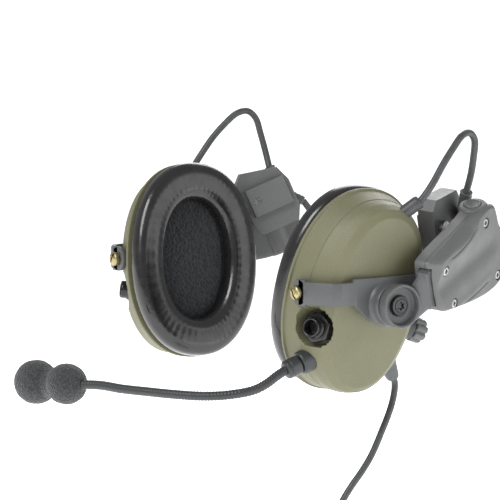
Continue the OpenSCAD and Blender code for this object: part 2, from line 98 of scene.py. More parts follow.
# Ear cup, in the cup's frame
CUP_DROP = -5
CUP_HALF_W = 43.5
CUP_HALF_H = 60
SEAL_IN = -28
FLANGE_IN = -13
EAR_HALF_W = 24.5
EAR_HALF_H = 38.5
OVAL_POWER = 2.2
EYE_Y = 42.4  # of the yoke's eyes, on the cup's tilt axis

# Cables
CROSS_D = 4.1
LEAD_D = 4
COIL_R = 23
COIL_TURNS = 5
COIL_STEPS = 60  # per turn
BUNDLE_R = 4
COIL_CENTRE = Vector((86, -61.4, -206))

LOOP_ROUTE = [
    (120.7, -44.2, 2.5), (122.7, -40.8, 5.5), (123.4, -33.8, 14), (122.4, -25.5, 24.8),
    (120.6, -17, 33.8), (118.6, -9.8, 39.9), (116.6, -2.8, 41.4), (114.8, 2.4, 36.5),
    (111.8, 4, 27), (108, 5, 16.5), (103.5, 5.2, 6)]
BOOT_ROUTE = [
    (103.5, 5.2, 6), (99.5, 6.9, -1.5), (96.4, 8.1, -7), (94, 11.5, -10.4), (92, 15.5, -12.2),
    (89, 21.5, -15)]
MIDDLE_ROUTE = [
    (89, 21.5, -15), (86.5, 26.5, -22.5), (81.5, 33, -34), (73.5, 39.5, -45), (62.5, 44, -54),
    (48, 47, -61), (32, 48.5, -66), (15, 49.5, -69), (0, 49.5, -70)]
BOOM_ROUTE = [
    (93.1, -110.9, -89.1), (92.7, -115.6, -90.9), (92.9, -120.3, -93.2), (92.8, -125.8, -96.3),
    (91.3, -132.7, -99.3), (88.5, -141, -101), (82, -150.3, -102.4), (73, -159, -103),
    (60, -167.5, -103), (45, -174.5, -103), (28, -181.5, -103), (12, -187, -102.5),
    (-4, -194.5, -103.5)]
LEAD_ROUTE = [
    (85.5, -33.2, -101.4), (85, -31.8, -103.8), (85.2, -31.9, -109), (85.6, -34, -116.5),
    (86, -37.6, -124.5), (86, -41.9, -133), (86, -46, -141), (86, -50.4, -148),
    (86, -56, -155), (86, -62.9, -162.5), (86, -69.8, -171.5), (86, -75.9, -182.5),
    (86, -82.3, -196.3)]
TAIL_ROUTE = [(86, -84.4, -206), (86, -84.9, -214), (86, -85.4, -222), (86, -85.4, -231)]
PLUG_TOP = TAIL_ROUTE[-1]
MIC_ENTRY = Vector(BOOM_ROUTE[-1])
MIC_DIRECTION = Vector((-0.94, -0.35, -0.04)).normalized()


# ---------- camera, lights and floor ----------

AZIMUTH = math.radians(57)
ELEVATION = math.radians(6.3)
DISTANCE = 1.8
LENS_MM = 216.7
FLOOR_Z = -0.31
back = Vector((
    math.sin(AZIMUTH) * math.cos(ELEVATION), -math.cos(AZIMUTH) * math.cos(ELEVATION),
    math.sin(ELEVATION)))
right = Vector((math.cos(AZIMUTH), math.sin(AZIMUTH), 0))
up = back.cross(right)
target = Vector((-10, -65.7, -32.9)) * MM - 0.0037 * right - 0.001 * up


def add_camera():
    data = bpy.data.cameras.new("view")
    data.lens = LENS_MM
    data.sensor_width = 36
    camera = bpy.data.objects.new("view", data)
    bpy.context.scene.collection.objects.link(camera)
    rotation = Matrix((right, up, back)).transposed().to_4x4()
    camera.matrix_world = Matrix.Translation(target + DISTANCE * back) @ rotation
    bpy.context.scene.camera = camera


def add_light(name, place, size, power):
    """An area light at place = (right, up, back) of the target, in metres, that faces it."""
    data = bpy.data.lights.new(name, "AREA")
    data.size = size
    data.energy = power
    light = bpy.data.objects.new(name, data)
    bpy.context.scene.collection.objects.link(light)
    position = target + place[0] * right + place[1] * up + place[2] * back
    light.matrix_world = Matrix.Translation(position) @ (
        (position - target).to_track_quat("Z", "Y").to_matrix().to_4x4())


def add_world():
    world = bpy.data.worlds.new("studio")
    world.use_nodes = True
    world.node_tree.nodes["Background"].inputs["Color"].default_value = (1, 1, 1, 1)
    world.node_tree.nodes["Background"].inputs["Strength"].default_value = 0.4
    bpy.context.scene.world = world


# ---------- mesh tools ----------

def smooth_route(route, step=1.5):
    """A Catmull-Rom curve through the points of a route, cut about every step millimetres."""
    p = [Vector(q) for q in route]
    p = [2 * p[0] - p[1]] + p + [2 * p[-1] - p[-2]]
    points = []
    for i in range(1, len(p) - 2):
        a, b, c, d = p[i - 1:i + 3]
        count = max(2, round((c - b).length / step))
        for k in range(count):
            t = k / count
            points.append(0.5 * (
                2 * b + (c - a) * t + (2 * a - 5 * b + 4 * c - d) * t * t
                + (3 * b - a - 3 * c + d) * t ** 3))
    points.append(p[-2])
    return points


def route_length(points):
    return sum((b - a).length for a, b in zip(points, points[1:]))


def ring_frames(points):
    """For each point: the point, its tangent and two normals that don't twist."""
    frames = []
    normal = None
    for i, point in enumerate(points):
        tangent = (points[min(i + 1, len(points) - 1)] - points[max(i - 1, 0)]).normalized()
        if normal is None:
            helper = Vector((0, 0, 1)) if abs(tangent.z) < 0.9 else Vector((1, 0, 0))
            normal = tangent.cross(helper).normalized()
        normal = (normal - tangent * normal.dot(tangent)).normalized()
        frames.append((point, tangent, normal, tangent.cross(normal)))
    return frames


def skin(rings, cap_start=True, cap_end=True, closed=False):
    """Joins rings of equal length into (vertices, faces)."""
    n = len(rings[0])
    verts = [v for ring in rings for v in ring]
    faces = []
    spans = len(rings) if closed else len(rings) - 1
    for j in range(spans):
        k = (j + 1) % len(rings)
        faces += [
            (j * n + i, j * n + (i + 1) % n, k * n + (i + 1) % n, k * n + i) for i in range(n)]
    if cap_start and not closed:
        faces.append(tuple(reversed(range(n))))
    if cap_end and not closed:
        faces.append(tuple(range((len(rings) - 1) * n, len(rings) * n)))
    return verts, faces


def tube(points, radius, sides=16):
    """A tube along points; radius is a number or a function of (distance along, angle)."""
    rings = []
    along = 0
    last = points[0]
    for point, _, u, v in ring_frames(points):
        along += (point - last).length
        last = point
        ring = []
        for k in range(sides):
            angle = 2 * math.pi * k / sides
            r = radius(along, angle) if callable(radius) else radius
            ring.append(point + r * (math.cos(angle) * u + math.sin(angle) * v))
        rings.append(ring)
    return skin(rings)


def lathe(profile, segments=64, radius_at=None):
    """A solid of revolution about +Z from (radius, z) points, widened by radius_at(angle, r, z)."""
    rings = []
    for r, z in profile:
        ring = []
        for k in range(segments):
            angle = 2 * math.pi * k / segments
            q = max(r, 0.01)
            if radius_at:
                q = radius_at(angle, q, z)
            ring.append(Vector((q * math.cos(angle), q * math.sin(angle), z)))
        rings.append(ring)
    hollow = profile[0] == profile[-1]
    if hollow:
        return skin(rings[:-1], closed=True)
    return skin(rings)


def rounded(profile, radius=0.5, steps=3, closed=False):
    """The profile with each inner corner replaced by a short curve."""
    p = [Vector(q) for q in profile]
    if closed:
        p = p[:-1]
    result = []
    n = len(p)
    for i in range(n):
        if not closed and i in (0, n - 1):
            result.append(tuple(p[i]))
            continue
        a, b, c = p[i - 1], p[i], p[(i + 1) % n]
        cut_a = min(radius, (a - b).length * 0.45)
        cut_c = min(radius, (c - b).length * 0.45)
        start = b + (a - b).normalized() * cut_a
        end = b + (c - b).normalized() * cut_c
        for k in range(steps + 1):
            t = k / steps
            result.append(tuple((1 - t) ** 2 * start + 2 * t * (1 - t) * b + t * t * end))
    if closed:
        result.append(result[0])
    return result


def merge(*parts):
    """One (vertices, faces) from several."""
    verts = []
    faces = []
    for v, f in parts:
        base = len(verts)
        verts += list(v)
        faces += [tuple(i + base for i in face) for face in f]
    return verts, faces


def moved(part, place):
    return [place @ Vector(v) for v in part[0]], part[1]


def box_part(low, high):
    (x0, y0, z0), (x1, y1, z1) = low, high
    base = ((x0, y0), (x1, y0), (x1, y1), (x0, y1))
    verts = [Vector((x, y, z)) for z in (z0, z1) for x, y in base]
    faces = [(3, 2, 1, 0), (4, 5, 6, 7), (0, 1, 5, 4), (1, 2, 6, 5), (2, 3, 7, 6), (3, 0, 4, 7)]
    return verts, faces


def prism(outline, low, high, axis="Z"):
    """A polygon extruded along Z, or along X when its points are (y, z)."""
    rings = []
    for level in (low, high):
        if axis == "Z":
            rings.append([Vector((a, b, level)) for a, b in outline])
        else:
            rings.append([Vector((level, a, b)) for a, b in outline])
    return skin(rings)


def oval_point(t, half_w, half_h, power=OVAL_POWER):
    """Point (y, z) of the cup's oval at the angle t."""
    c, s = math.cos(t), math.sin(t)
    return (
        half_w * math.copysign(abs(c) ** (2 / power), c),
        CUP_DROP + half_h * math.copysign(abs(s) ** (2 / power), s))


def new_object(name, part, place=ROW, side=1, sharp=38, clean=True):
    """A Blender object in the row frame from (vertices, faces) in a local frame."""
    mirror = Matrix.Diagonal((side * MM, MM, MM, 1))
    mesh = bpy.data.meshes.new(name)
    to_row = mirror @ place
    mesh.from_pydata([to_row @ Vector(v) for v in part[0]], [], part[1])
    work = bmesh.new()
    work.from_mesh(mesh)
    if clean:
        bmesh.ops.remove_doubles(work, verts=work.verts, dist=0.02 * MM)
    bmesh.ops.recalc_face_normals(work, faces=work.faces)
    for face in work.faces:
        face.smooth = True
    mark_sharp(work, sharp)
    work.to_mesh(mesh)
    work.free()
    obj = bpy.data.objects.new(name, mesh)
    bpy.context.scene.collection.objects.link(obj)
    return obj


def mark_sharp(work, angle):
    for edge in work.edges:
        if len(edge.link_faces) == 2:
            edge.smooth = edge.calc_face_angle() < math.radians(angle)


def freeze(obj, sharp=None):
    """Applies the modifiers of an object."""
    graph = bpy.context.evaluated_depsgraph_get()
    mesh = bpy.data.meshes.new_from_object(obj.evaluated_get(graph))
    obj.modifiers.clear()
    obj.data = mesh
    if sharp is not None:
        work = bmesh.new()
        work.from_mesh(mesh)
        for face in work.faces:
            face.smooth = True
        mark_sharp(work, sharp)
        work.to_mesh(mesh)
        work.free()
    return obj


def bevel(obj, width, segments=2, angle=30, sharp=38):
    mod = obj.modifiers.new("bevel", "BEVEL")
    mod.width = width * MM
    mod.segments = segments
    mod.limit_method = "ANGLE"
    mod.angle_limit = math.radians(angle)
    mod.miter_outer = "MITER_ARC"
    return freeze(obj, sharp)


def combine(obj, other, operation, sharp=None):
    """Adds or cuts another object, which is then deleted."""
    mod = obj.modifiers.new("combine", "BOOLEAN")
    mod.operation = operation
    mod.object = other
    mod.solver = "EXACT"
    freeze(obj, sharp)
    bpy.data.objects.remove(other)
    return obj


def melt(obj, voxel, rounds, factor=0.5):
    """Fuses the parts of an object into one skin with soft inner corners."""
    mod = obj.modifiers.new("melt", "REMESH")
    mod.mode = "VOXEL"
    mod.voxel_size = voxel * MM
    mod.use_smooth_shade = True
    relax = obj.modifiers.new("relax", "SMOOTH")
    relax.factor = factor
    relax.iterations = rounds
    return freeze(obj)


def finish_piece(obj, material, body, replaces=()):
    obj.data.materials.clear()
    obj.data.materials.append(material)
    if body:
        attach(obj, body)
    if replaces:
        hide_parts(*replaces)
    return obj


# ---------- materials ----------

class Nodes:
    """A material's node tree with short calls to add to it."""

    def __init__(self, name):
        self.material = bpy.data.materials.new(name)
        self.material.use_nodes = True
        self.tree = self.material.node_tree
        self.shader = self.tree.nodes["Principled BSDF"]
        self.coords = self.tree.nodes.new("ShaderNodeTexCoord").outputs["Object"]

    def add(self, kind, values=(), **settings):
        node = self.tree.nodes.new(kind)
        for key, value in settings.items():
            setattr(node, key, value)
        for key, value in dict(values).items():
            if isinstance(value, bpy.types.NodeSocket):
                self.tree.links.new(value, node.inputs[key])
            else:
                node.inputs[key].default_value = value
        return node

    def noise(self, scale, detail=3, rough=0.5):
        return self.add("ShaderNodeTexNoise", {
            "Vector": self.coords, "Scale": scale, "Detail": detail, "Roughness": rough,
        }).outputs["Fac"]

    def cells(self, scale, feature="F1"):
        return self.add(
            "ShaderNodeTexVoronoi", {"Vector": self.coords, "Scale": scale}, feature=feature,
        ).outputs["Distance"]

    def remap(self, value, low, high, from_low=0.3, from_high=0.7):
        return self.add("ShaderNodeMapRange", {
            "Value": value, "From Min": from_low, "From Max": from_high, "To Min": low,
            "To Max": high}).outputs["Result"]

    def mix(self, factor, first, second):
        node = self.add("ShaderNodeMix", data_type="RGBA")
        self.tree.links.new(factor, node.inputs["Factor"])
        for index, colour in ((6, first), (7, second)):
            if isinstance(colour, bpy.types.NodeSocket):
                self.tree.links.new(colour, node.inputs[index])
            else:
                node.inputs[index].default_value = (*colour, 1)
        return node.outputs[2]

    def bump(self, height, strength, distance, below=None):
        values = {"Height": height, "Strength": strength, "Distance": distance}
        if below:
            values["Normal"] = below
        return self.add("ShaderNodeBump", values).outputs["Normal"]

    def link(self, value, socket):
        self.tree.links.new(value, self.shader.inputs[socket])

    def put(self, socket, value):
        self.shader.inputs[socket].default_value = value


def shade(colour, factor):
    return tuple(min(1, c * factor) for c in colour)


def moulded(name, colour, rough=0.5, grain=1400, grain_depth=0.00006, mottle=0.12):
    """Moulded plastic: fine spark-eroded grain, slow mottling and rubbed spots."""
    n = Nodes(name)
    slow = n.remap(n.noise(28, 4), 0, 1, 0.35, 0.65)
    fine = n.noise(grain, 2)
    speck = n.remap(fine, 0, 1, 0.35, 0.65)
    base = n.mix(slow, shade(colour, 1 - mottle), shade(colour, 1 + mottle))
    speckled = n.mix(speck, shade(colour, 0.86), shade(colour, 1.14))
    both = n.add("ShaderNodeMix", data_type="RGBA")
    both.inputs["Factor"].default_value = 0.5
    n.tree.links.new(base, both.inputs[6])
    n.tree.links.new(speckled, both.inputs[7])
    n.link(both.outputs[2], "Base Color")
    n.link(n.remap(n.noise(90, 5), rough - 0.06, rough + 0.08), "Roughness")
    n.link(n.bump(fine, 0.6, grain_depth, n.bump(n.noise(220, 3), 0.25, 0.00005)), "Normal")
    return n.material


def vinyl(name, colour):
    """Glossy black vinyl skin over gel, with fine leather cells and soft creases."""
    n = Nodes(name)
    tint = n.mix(n.remap(n.noise(60, 3), 0, 1), shade(colour, 0.8), shade(colour, 1.3))
    n.link(tint, "Base Color")
    n.link(n.remap(n.noise(140, 4), 0.16, 0.34), "Roughness")
    crease = n.bump(n.noise(75, 3), 0.2, 0.0002)
    n.link(n.bump(n.cells(1100, "DISTANCE_TO_EDGE"), 0.1, 0.00005, crease), "Normal")
    n.put("Coat Weight", 0.35)
    n.put("Coat Roughness", 0.12)
    return n.material


def foam(name, colour, pore=900):
    """Open-cell foam: the pores painted darker as painted shade in the cell hollows, between paler
    struts.
    """
    n = Nodes(name)
    pore_height_and_shade = n.remap(n.cells(pore), 0, 1, 0.1, 0.75)
    # painted shade: the cells' hollows are darkened in the colour, standing in for shade inside the
    # pores; the same cells give the bump
    n.link(n.mix(pore_height_and_shade, shade(colour, 0.45), shade(colour, 1.45)), "Base Color")
    n.put("Roughness", 0.95)
    n.put("Specular IOR Level", 0.15)
    n.put("Sheen Weight", 0.25)
    n.put("Sheen Roughness", 0.6)
    lumps = n.bump(n.noise(420, 4), 0.7, 0.0006)
    n.link(n.bump(pore_height_and_shade, 0.9, 0.0005, lumps), "Normal")
    return n.material


def rubber(name, colour, rough=0.55):
    """Cable jacket and boots: slightly dusty rubber."""
    n = Nodes(name)
    dust = n.remap(n.noise(160, 5, 0.6), 0, 1)
    n.link(n.mix(dust, shade(colour, 0.85), shade(colour, 1.25)), "Base Color")
    n.link(n.remap(n.noise(300, 3), rough - 0.08, rough + 0.1), "Roughness")
    n.link(n.bump(n.noise(1500, 2), 0.35, 0.00004), "Normal")
    return n.material


def metal(name, colour, rough=0.3, wear=0.5, scale=700):
    """Turned metal with fine scratches and tarnish."""
    n = Nodes(name)
    n.put("Metallic", 1)
    tarnish = n.remap(n.noise(scale, 5), 0, 1)
    n.link(n.mix(tarnish, shade(colour, 1 - wear), shade(colour, 1.1)), "Base Color")
    n.link(n.remap(n.noise(scale * 2, 3), rough - 0.08, rough + 0.15), "Roughness")
    n.link(n.bump(n.noise(2600, 2), 0.3, 0.00003), "Normal")
    return n.material


def board_green():
    n = Nodes("board_green")
    tracks = n.add("ShaderNodeTexBrick", {"Vector": n.coords, "Scale": 350}).outputs["Fac"]
    n.link(n.mix(tracks, (0.01, 0.09, 0.03), (0.03, 0.16, 0.06)), "Base Color")
    n.put("Roughness", 0.35)
    n.link(n.bump(tracks, 0.3, 0.00005), "Normal")
    return n.material


def floor_white():
    n = Nodes("floor_white")
    tint = n.mix(n.remap(n.noise(3, 4), 0, 1), (0.93, 0.93, 0.93), (0.95, 0.95, 0.95))
    n.link(tint, "Base Color")
    n.put("Roughness", 0.9)
    n.put("Specular IOR Level", 0)
    n.put("Emission Color", (1, 1, 1, 1))
    n.put("Emission Strength", 1)
    return n.material


OLIVE = moulded("olive_plastic", (0.155, 0.152, 0.088), 0.5, mottle=0.07)
ARM_GREY = moulded("arm_plastic", (0.115, 0.117, 0.118), 0.42, mottle=0.08)
YOKE_GREY = moulded("yoke_plastic", (0.085, 0.088, 0.09), 0.4, mottle=0.1)
DARK = moulded("dark_plastic", (0.03, 0.032, 0.034), 0.38, mottle=0.15)
GLOSS = moulded("gloss_plastic", (0.012, 0.012, 0.013), 0.16, grain=600, grain_depth=0.00002)
VINYL = vinyl("seal_vinyl", (0.010, 0.010, 0.011))
FOAM = foam("windscreen_foam", (0.034, 0.036, 0.038))
LINER = foam("liner_foam", (0.012, 0.013, 0.015), 500)
RUBBER = rubber("boot_rubber", (0.075, 0.08, 0.083), 0.5)
CABLE = rubber("cable_jacket", (0.05, 0.053, 0.055), 0.42)
BRASS = metal("screw_brass", (0.52, 0.45, 0.24), 0.3)
STEEL = metal("screw_steel", (0.55, 0.55, 0.56), 0.25)
BATTERY = metal("battery_sleeve", (0.35, 0.36, 0.4), 0.35, 0.3, 60)
BOARD = board_green()


# ---------- ear cups ----------

CUP_LEVELS = rounded([
    (-10.0, 34.6, 50.6), (-13.0, 34.6, 50.6), (-13.0, 43.5, 60.0), (-11.2, 43.5, 60.0),
    (-11.1, 41.7, 59.0), (0.7, 38.6, 57.1), (1.0, 38.0, 56.5), (1.3, 38.4, 56.9),
    (7.0, 35.7, 56.1), (12.0, 31.8, 54.2), (15.5, 27.2, 50.2)], 0.5)
DOME_TOP = 17.8
AMBIENT_SEAT_R = 10.2
AMBIENT_NUT_R = 9.3
GRILLE_R = 4
GRILLE_PITCH = 0.9
GRILLE_HALF_BAR = 0.14


def cup_profile():
    """Levels (x, half width, half height) from the seal's seat to the top of the dome."""
    levels = list(CUP_LEVELS)
    low, half_w, half_h = levels[-1]
    steps = 34
    for k in range(1, steps + 1):
        t = k / steps
        rise = math.sin(min(1, 1.15 * t) * math.pi / 2) ** 0.9
        levels.append((low + (DOME_TOP - low) * rise, half_w * (1 - t), half_h * (1 - t)))
    return levels


def refined(levels, gap):
    """The levels with more put between those that lie far apart."""
    result = [levels[0]]
    for a, b in zip(levels, levels[1:]):
        length = (Vector(b) - Vector(a)).length
        count = max(1, round(length / gap))
        result += [tuple(Vector(a).lerp(Vector(b), k / count)) for k in range(1, count + 1)]
    return result


def sink_ambient_seat(point):
    """Presses the shell down to the microphone's seat, with a sloping wall round it."""
    local = AMBIENT.inverted() @ (CUP @ point)
    distance = math.hypot(local.x, local.y)
    if distance > AMBIENT_SEAT_R + 3 or local.z < -4:
        return point
    floor = -0.4 + 14 * max(0, (distance - AMBIENT_SEAT_R + 0.6) / 2.2) ** 2
    if local.z > floor:
        local.z = floor
        return CUP.inverted() @ (AMBIENT @ local)
    return point


def cup_shell(side_name, side):
    segments = 240
    rings = []
    for x, half_w, half_h in refined(cup_profile(), 0.9):
        ring = []
        for i in range(segments):
            y, z = oval_point(2 * math.pi * i / segments, half_w, half_h)
            ring.append(sink_ambient_seat(Vector((x, y, z))))
        rings.append(ring)
    obj = new_object("cup_shell_" + side_name, skin(rings, cap_start=False), CUP, side, 50)
    lug = lathe(rounded([(0, 37), (4.5, 37), (4.5, 40.9), (0, 40.9)], 0.4), 40)
    eyes = merge(*[moved(lug, aimed((0, 0, 0), (0, s, 0))) for s in (-1, 1)])
    lugs = new_object("cup_lugs_" + side_name, eyes, YOKE, side)
    finish_piece(lugs, OLIVE, side_name + "_cup", ())
    finish_piece(
        obj, OLIVE, side_name + "_cup", ("cup_base_" + side_name, "cup_cap_" + side_name))


def seal_cushion(side_name, side):
    """The gel ring: crowned, with faint gathers round its face."""
    around, across = 320, 44
    rings = []
    for j in range(across):
        u = j / across * 2 * math.pi
        ring = []
        for i in range(around):
            t = 2 * math.pi * i / around
            swell = 1 + 0.012 * math.sin(3 * t + 1) + 0.006 * math.sin(7 * t)
            gather = 0.025 * math.sin(58 * t + 2 * math.sin(5 * t)) * max(0, -math.sin(u)) ** 0.5
            v = 0.5 - 0.53 * math.copysign(abs(math.cos(u)) ** 0.75, math.cos(u))
            x = FLANGE_IN - 7.4 + 7.2 * swell * math.copysign(abs(math.sin(u)) ** 0.72, math.sin(u))
            half_w = CUP_HALF_W - v * (CUP_HALF_W - EAR_HALF_W) - 0.7
            half_h = CUP_HALF_H - v * (CUP_HALF_H - EAR_HALF_H) - 0.7
            y, z = oval_point(t, half_w, half_h)
            crumple = 0.12 * noise.noise(Vector((y, z, x)) * 0.05)
            ring.append(Vector((min(x + gather + crumple, FLANGE_IN - 0.1), y, z)))
        rings.append(ring)
    obj = new_object("seal_cushion_" + side_name, skin(rings, closed=True), CUP, side, 60)
    finish_piece(obj, VINYL, side_name + "_cup", ("ear_seal_" + side_name,))


def liner_pad(side_name, side):
    """Foam disc over the speaker, a little dished and dimpled."""
    around, rows = 128, 26
    rings = []
    for j in range(rows + 1):
        v = 1 - j / rows
        ring = []
        for i in range(around):
            t = 2 * math.pi * i / around
            y, z = oval_point(t, (EAR_HALF_W - 0.4) * v, (EAR_HALF_H - 0.4) * v)
            lift = 2.6 * (1 - v ** 10) - 0.8 * (1 - v * v)
            x = FLANGE_IN - 0.3 - lift - 0.35 * noise.noise(Vector((y, z, 4)) * 0.22)
            ring.append(Vector((x, y, z)))
        rings.append(ring)
    flat = [Vector((FLANGE_IN - 0.2, v.y, v.z)) for v in rings[0]]
    obj = new_object("liner_pad_" + side_name, skin([flat] + rings), CUP, side, 60)
    finish_piece(obj, LINER, side_name + "_cup", ("foam_liner_" + side_name,))


def ambient_parts(side_name, side):
    corners = [math.radians(60 * k) for k in range(6)]
    hexagon = [(AMBIENT_NUT_R * math.cos(a), AMBIENT_NUT_R * math.sin(a)) for a in corners]
    nut = new_object("ambient_nut_ring_" + side_name, prism(hexagon, 0, 6), AMBIENT, side)
    bevel(nut, 0.7, 3)
    hole = new_object("cutter", lathe([(0, -2), (5.5, -2), (5.5, 8), (0, 8)]), AMBIENT, side)
    combine(nut, hole, "DIFFERENCE", 35)
    finish_piece(nut, GLOSS, side_name + "_cup", ("ambient_nut_" + side_name,))
    profile = rounded([
        (0, 4), (4.1, 4), (4.2, 11.6), (4.9, 12), (5.4, 11.4), (5.4, 8.2), (6.2, 7.6), (6.2, 6.2),
        (5.4, 6.0), (5.4, -6), (0, -6)], 0.35)
    mic = new_object("ambient_tube_" + side_name, lathe(profile), AMBIENT, side)
    finish_piece(mic, GLOSS, side_name + "_cup", ("ambient_mic_" + side_name,))
    grille = []
    for row in range(-4, 5):
        place = row * GRILLE_PITCH
        low, high = place - GRILLE_HALF_BAR, place + GRILLE_HALF_BAR
        reach = math.sqrt(GRILLE_R ** 2 - place ** 2)
        grille.append(box_part((low, -reach, 4.6), (high, reach, 4.9)))
        grille.append(box_part((-reach, low, 4.7), (reach, high, 5.0)))
    mesh = new_object("ambient_grille_" + side_name, merge(*grille), AMBIENT, side, clean=False)
    finish_piece(mesh, DARK, side_name + "_cup", ())


# ---------- yoke ----------

BAND_PATH = [
    (0, -EYE_Y), (6, -EYE_Y), (12, -39.8), (20.2, -34), (22.4, -30), (22.4, -20), (22.4, 0),
    (22.4, 18), (22.4, 24), (18.9, 30.8), (11.8, 37.9), (6, EYE_Y), (0, EYE_Y)]


def band_heights(x, y):
    """Lowest and highest z of the yoke band at a place along it."""
    if x < 6:
        return -7.5, 7.5
    low, high = -6.6, 6.4
    if -22.5 < y < 22.5:
        high = 8.2
        drop = min(1, max(0, (22.5 - abs(y - 1)) / 10.5))
        low = -6.6 - 9.8 * drop
    return low, high


def band_part():
    """The bent strip with its rounded edges, swept along its path in plan."""
    points = []
    for p, q in zip(BAND_PATH, BAND_PATH[1:]):
        a, b = Vector(p), Vector(q)
        count = max(1, round((b - a).length / 0.8))
        points += [a.lerp(b, k / count) for k in range(count)]
    points.append(Vector(BAND_PATH[-1]))
    half = 1.2
    soft = 0.45
    rings = []
    for i, point in enumerate(points):
        ahead = points[min(i + 2, len(points) - 1)] - points[max(i - 2, 0)]
        out = Vector((-ahead.y, ahead.x)).normalized() * -1
        low, high = band_heights(point.x, point.y)
        corner = [
            (-half, low + soft), (-half + soft * 0.3, low + soft * 0.3), (-half + soft, low),
            (half - soft, low), (half - soft * 0.3, low + soft * 0.3), (half, low + soft),
            (half, high - soft), (half - soft * 0.3, high - soft * 0.3), (half - soft, high),
            (-half + soft, high), (-half + soft * 0.3, high - soft * 0.3), (-half, high - soft)]
        rings.append([Vector((point.x + out.x * t, point.y + out.y * t, z)) for t, z in corner])
    return skin(rings)


def yoke_band(side_name, side):
    eye = rounded([(2.2, -1.2), (7.5, -1.2), (7.5, 1.2), (2.2, 1.2), (2.2, -1.2)], 0.4, closed=True)
    eyes = [moved(lathe(eye, 64), aimed((0, s * EYE_Y, 0), (0, 1, 0))) for s in (-1, 1)]
    boss = rounded([
        (3.1, 22.2), (13.4, 22.2), (13.4, 23.4), (12.4, 24.6), (12.0, 26), (12.0, 29.6),
        (11.4, 30.4), (3.1, 30.4), (3.1, 22.2)], 0.5, closed=True)
    band = new_object("yoke_band_" + side_name, band_part(), YOKE, side, 30)
    rims = new_object("yoke_eyes_" + side_name, merge(*eyes), YOKE, side, 35)
    hub = new_object("yoke_hub_" + side_name, lathe(boss, 96), SWIVEL_AXIS, side, 35)
    body = side_name + "_yoke"
    finish_piece(band, YOKE_GREY, body, ("yoke_" + side_name,))
    finish_piece(rims, YOKE_GREY, body, ())
    finish_piece(hub, YOKE_GREY, body, ())


def star(angle, radius, depth=0.22):
    """Radius of a six-lobed driver recess."""
    return radius * (1 + depth * math.cos(6 * angle))


def swivel_screw(side_name, side):
    """Ringed screw head with a six-lobed recess at the bottom of the dish."""
    def recess(angle, r, z):
        return star(angle, r) if r < 2.2 else r
    profile = [
        (0, 35.0), (1.9, 35.0), (2.0, 36.1), (2.9, 36.3), (3.6, 36.2), (3.8, 35.8), (4.3, 35.8),
        (4.5, 36.2), (5.5, 36.1), (6, 35.4), (6, 34.3), (3.0, 34.2), (3.0, 24), (0, 24)]
    head = lathe(profile, 96, recess)
    obj = new_object("swivel_screw_head_" + side_name, head, SWIVEL_AXIS, side, 30)
    finish_piece(obj, GLOSS, side_name + "_yoke", ("swivel_screw_" + side_name,))


def pivot_screw_heads(side_name, side):
    """Slotted brass screws that hold the cup in the yoke's eyes."""
    profile = rounded([
        (0, 47.8), (2.2, 47.8), (3.9, 46.9), (4.2, 46.3), (4.2, 44.2), (2, 44.1), (2, 37),
        (0, 37)], 0.35)
    slot = box_part((-5, -0.65, 46.4), (5, 0.65, 49))
    parts = []
    for s in (-1, 1):
        place = YOKE @ aimed((0, 0, 0), (0, s, 0))
        parts.append(new_object("pivot_part", lathe(profile), place, side))
        cutter = new_object("cutter", slot, place @ turned(28, "Z"), side)
        combine(parts[-1], cutter, "DIFFERENCE", 30)
    obj = combine(parts[0], parts[1], "UNION", 30)
    obj.name = "pivot_screw_heads_" + side_name
    finish_piece(obj, BRASS, side_name + "_cup", ("pivot_screws_" + side_name,))


# ---------- slider ----------

def slider_stem(side_name, side):
    """The dish over the swivel and the stem that runs from its rim into the arm."""
    dish_part = lathe(rounded([
        (3.2, 31), (10.8, 31), (12.1, 32.2), (12.4, 34.4), (12.4, 37.9), (12.0, 38.5), (11.1, 38.5),
        (10.7, 38), (10.5, 34.6), (9.6, 34), (3.2, 34), (3.2, 31)], 0.3, closed=True), 96)
    dish_row = moved(dish_part, SWIVEL_AXIS)
    start_centre = SWIVEL_AXIS @ Vector((0, 0, 34.4))
    rings = []
    steps = 14
    for k in range(steps + 1):
        t = k / steps
        ring = []
        for i in range(32):
            angle = 2 * math.pi * i / 32
            c, s = math.cos(angle), math.sin(angle)
            round_c = math.copysign(abs(c) ** 0.5, c)
            round_s = math.copysign(abs(s) ** 0.5, s)
            first = start_centre + Vector((3.2 * c, 11.4 - 3 * s * s, 11 * s))
            last = ARM @ Vector((2.5 + 3.4 * round_c, -66, -20 + 11.6 * round_s))
            ring.append(first.lerp(last, t))
        rings.append(ring)
    stem = skin(rings)
    tongue = moved(box_part((-0.8, -67, -31.6), (5.8, -58.5, -8.4)), ARM)
    rail = moved(box_part((0.1, -58.6, -27.8), (4.9, -13.2, -18.2)), ARM)
    obj = new_object("slider_stem_" + side_name, merge(stem, tongue), ROW, side, clean=False)
    melt(obj, 0.5, 6)
    dish = new_object("slider_dish_" + side_name, dish_row, ROW, side, 30)
    finish_piece(dish, YOKE_GREY, side_name + "_slider", ())
    bar = new_object("slider_rail_" + side_name, rail, ROW, side)
    bevel(bar, 0.6)
    finish_piece(bar, DARK, side_name + "_slider", ())
    finish_piece(obj, YOKE_GREY, side_name + "_slider", ("slider_" + side_name,))


# ---------- arm ----------

ARM_OUTLINE = [
    (-63, -5), (-58, -3.4), (-45, -2.6), (-30, -2.2), (-14, -1.5), (-6, -0.4), (4, -0.4),
    (9.2, -3), (10.6, -9), (11.5, -16), (14.6, -22), (16.6, -29), (16.8, -38), (14.2, -43),
    (13.6, -47), (9, -51.5), (0, -53), (-12, -52), (-26, -48.6), (-44, -42.6), (-62, -36)]
ARM_IN = -4.4
ARM_OUT = 10
SCREW_PLACES = [(-3.5, -8.5), (-51.5, -14.2), (3, -46.5), (-47.3, -37.5)]
SCREW_SEAT = 8
BARREL_R = 8.5


